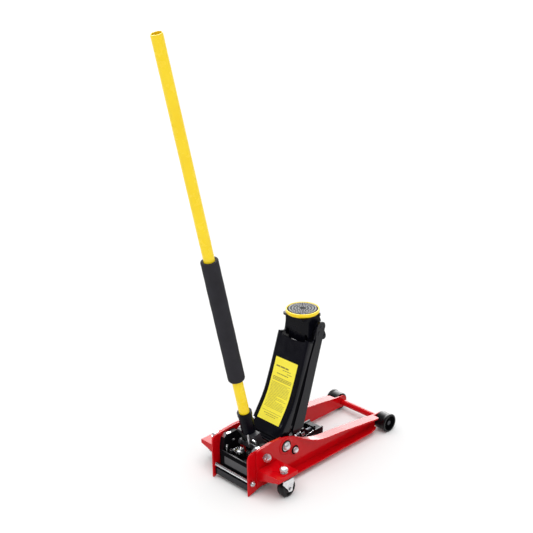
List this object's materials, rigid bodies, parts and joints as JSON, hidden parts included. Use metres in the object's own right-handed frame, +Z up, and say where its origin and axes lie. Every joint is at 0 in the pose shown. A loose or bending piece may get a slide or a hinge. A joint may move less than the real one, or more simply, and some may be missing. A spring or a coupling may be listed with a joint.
{
  "type": "trolley jack",
  "caption": "Low wheeled hydraulic floor jack with a raised lifting arm, a round saddle, rear casters and a long pump handle.",
  "frame": {"origin": "on the ground, under the middle of the whole envelope in X and Y", "axes": "+Z up, +X from the handle end to the front rollers, +Y to the left"},
  "size_m": [0.8998, 0.3856, 1.4906],
  "materials": {
    "red_paint": "gloss enamel",
    "black_paint": "gloss enamel",
    "yellow_paint": "gloss enamel",
    "cast_black": "painted casting",
    "grey_steel": "dark phosphate",
    "zinc_steel": "bright zinc plate",
    "foam": "closed-cell foam",
    "black_plastic": "moulded",
    "label_film": "printed film",
    "pad_rubber": "moulded rubber"
  },
  "bodies": {
    "chassis": {"side_frame_left": "red_paint", "side_frame_right": "red_paint", "rear_plate_left": "red_paint", "rear_plate_right": "red_paint", "caster_bracket_left": "red_paint", "caster_bracket_right": "red_paint", "front_cross_tube": "red_paint", "front_axle": "grey_steel", "axle_retainers": "black_paint", "rear_tie_rod": "zinc_steel", "tie_rod_nuts": "zinc_steel", "rear_cross_bar": "black_paint", "power_unit": "cast_black", "rear_panel": "grey_steel", "ram_cylinder": "cast_black", "gland_nut": "zinc_steel", "unit_bolts": "zinc_steel", "unit_plugs": "zinc_steel", "yoke_pin": "zinc_steel", "arm_pivot_shaft": "zinc_steel", "pivot_nuts": "zinc_steel", "pivot_spacers": "grey_steel", "anchor_bolts": "zinc_steel", "king_pins": "zinc_steel"},
    "arm": {"arm_cover": "black_paint", "arm_side_left": "black_paint", "arm_side_right": "black_paint", "arm_label": "label_film", "pivot_tube": "black_paint", "tip_pin": "black_paint", "tip_spacers": "grey_steel"},
    "level_rods": {"level_rod_left": "grey_steel", "level_rod_right": "grey_steel"},
    "bracket": {"saddle_bracket": "black_paint", "link_pin": "black_paint"},
    "saddle": {"saddle_cup": "yellow_paint", "saddle_pad": "pad_rubber"},
    "ram": {"ram_rod": "grey_steel", "crosshead": "cast_black", "pull_bar_left": "black_paint", "pull_bar_right": "black_paint"},
    "yoke": {"handle_yoke": "grey_steel", "handle_socket": "black_paint", "socket_bolt": "zinc_steel", "pump_cam": "grey_steel"},
    "handle": {"handle_lower": "yellow_paint", "handle_upper": "yellow_paint", "foam_grip": "foam", "release_shaft": "zinc_steel"},
    "valve": {"valve_gear": "zinc_steel"},
    "pump": {"pump_piston": "zinc_steel", "pump_spring": "zinc_steel"},
    "roller_left": {"front_roller_left": "black_plastic"},
    "roller_right": {"front_roller_right": "black_plastic"},
    "fork_left": {"caster_fork_left": "zinc_steel", "caster_axle_left": "zinc_steel"},
    "fork_right": {"caster_fork_right": "zinc_steel", "caster_axle_right": "zinc_steel"},
    "wheel_left": {"caster_wheel_left": "black_plastic"},
    "wheel_right": {"caster_wheel_right": "black_plastic"}
  },
  "joints": [
    {"name": "arm_lift", "type": "hinge", "parent": "chassis", "child": "arm", "pos_m": [-0.05659, 0, 0.121], "axis": [0, -1, 0], "range_deg": [-74, 0]},
    {"name": "rod_swing", "type": "hinge", "parent": "chassis", "child": "level_rods", "pos_m": [-0.01559, 0, 0.091], "axis": [0, -1, 0], "range_deg": [-74, 0]},
    {"name": "bracket_level", "type": "hinge", "parent": "arm", "child": "bracket", "pos_m": [0.12341, 0, 0.457], "axis": [0, -1, 0], "range_deg": [0, 74]},
    {"name": "saddle_turn", "type": "hinge", "parent": "bracket", "child": "saddle", "pos_m": [0.11791, 0, 0.51], "axis": [0, 0, 1], "continuous": true},
    {"name": "ram_stroke", "type": "slide", "parent": "chassis", "child": "ram", "axis": [1, 0, 0], "range_m": [-0.08, 0]},
    {"name": "handle_pump", "type": "hinge", "parent": "chassis", "child": "yoke", "pos_m": [-0.10359, 0, 0.112], "axis": [0, -1, 0], "range_deg": [-6, 36]},
    {"name": "pump_stroke", "type": "slide", "parent": "chassis", "child": "pump", "axis": [0, 0, 1], "range_m": [-0.021, 0.004], "deforming": ["pump_spring"]},
    {"name": "handle_twist", "type": "hinge", "parent": "yoke", "child": "handle", "pos_m": [-0.15259, 0, 0.25], "axis": [-0.2208, 0, 0.9753], "range_deg": [-90, 90]},
    {"name": "valve_turn", "type": "hinge", "parent": "chassis", "child": "valve", "pos_m": [-0.16359, 0.016, 0.09], "axis": [0, 0, 1], "range_deg": [-90, 90]},
    {"name": "roller_spin_left", "type": "hinge", "parent": "chassis", "child": "roller_left", "pos_m": [0.41691, 0.116, 0.033], "axis": [0, 1, 0], "continuous": true},
    {"name": "roller_spin_right", "type": "hinge", "parent": "chassis", "child": "roller_right", "pos_m": [0.41691, -0.116, 0.033], "axis": [0, 1, 0], "continuous": true},
    {"name": "caster_swivel_left", "type": "hinge", "parent": "chassis", "child": "fork_left", "pos_m": [-0.13759, 0.163, 0.069], "axis": [0, 0, 1], "continuous": true},
    {"name": "caster_swivel_right", "type": "hinge", "parent": "chassis", "child": "fork_right", "pos_m": [-0.13759, -0.163, 0.069], "axis": [0, 0, 1], "continuous": true},
    {"name": "caster_spin_left", "type": "hinge", "parent": "fork_left", "child": "wheel_left", "pos_m": [-0.13052, 0.17007, 0.031], "axis": [-0.7071, 0.7071, 0], "continuous": true},
    {"name": "caster_spin_right", "type": "hinge", "parent": "fork_right", "child": "wheel_right", "pos_m": [-0.12759, -0.163, 0.031], "axis": [0, 1, 0], "continuous": true}
  ],
  "couplings": [
    {"joint": "rod_swing", "follows": "arm_lift", "ratio": 1},
    {"joint": "bracket_level", "follows": "arm_lift", "ratio": -1},
    {"joint": "ram_stroke", "follows": "arm_lift", "m_per_rad": 0.0615},
    {"joint": "pump_stroke", "follows": "handle_pump", "m_per_rad": -0.0324},
    {"joint": "valve_turn", "follows": "handle_twist", "ratio": 1}
  ]
}
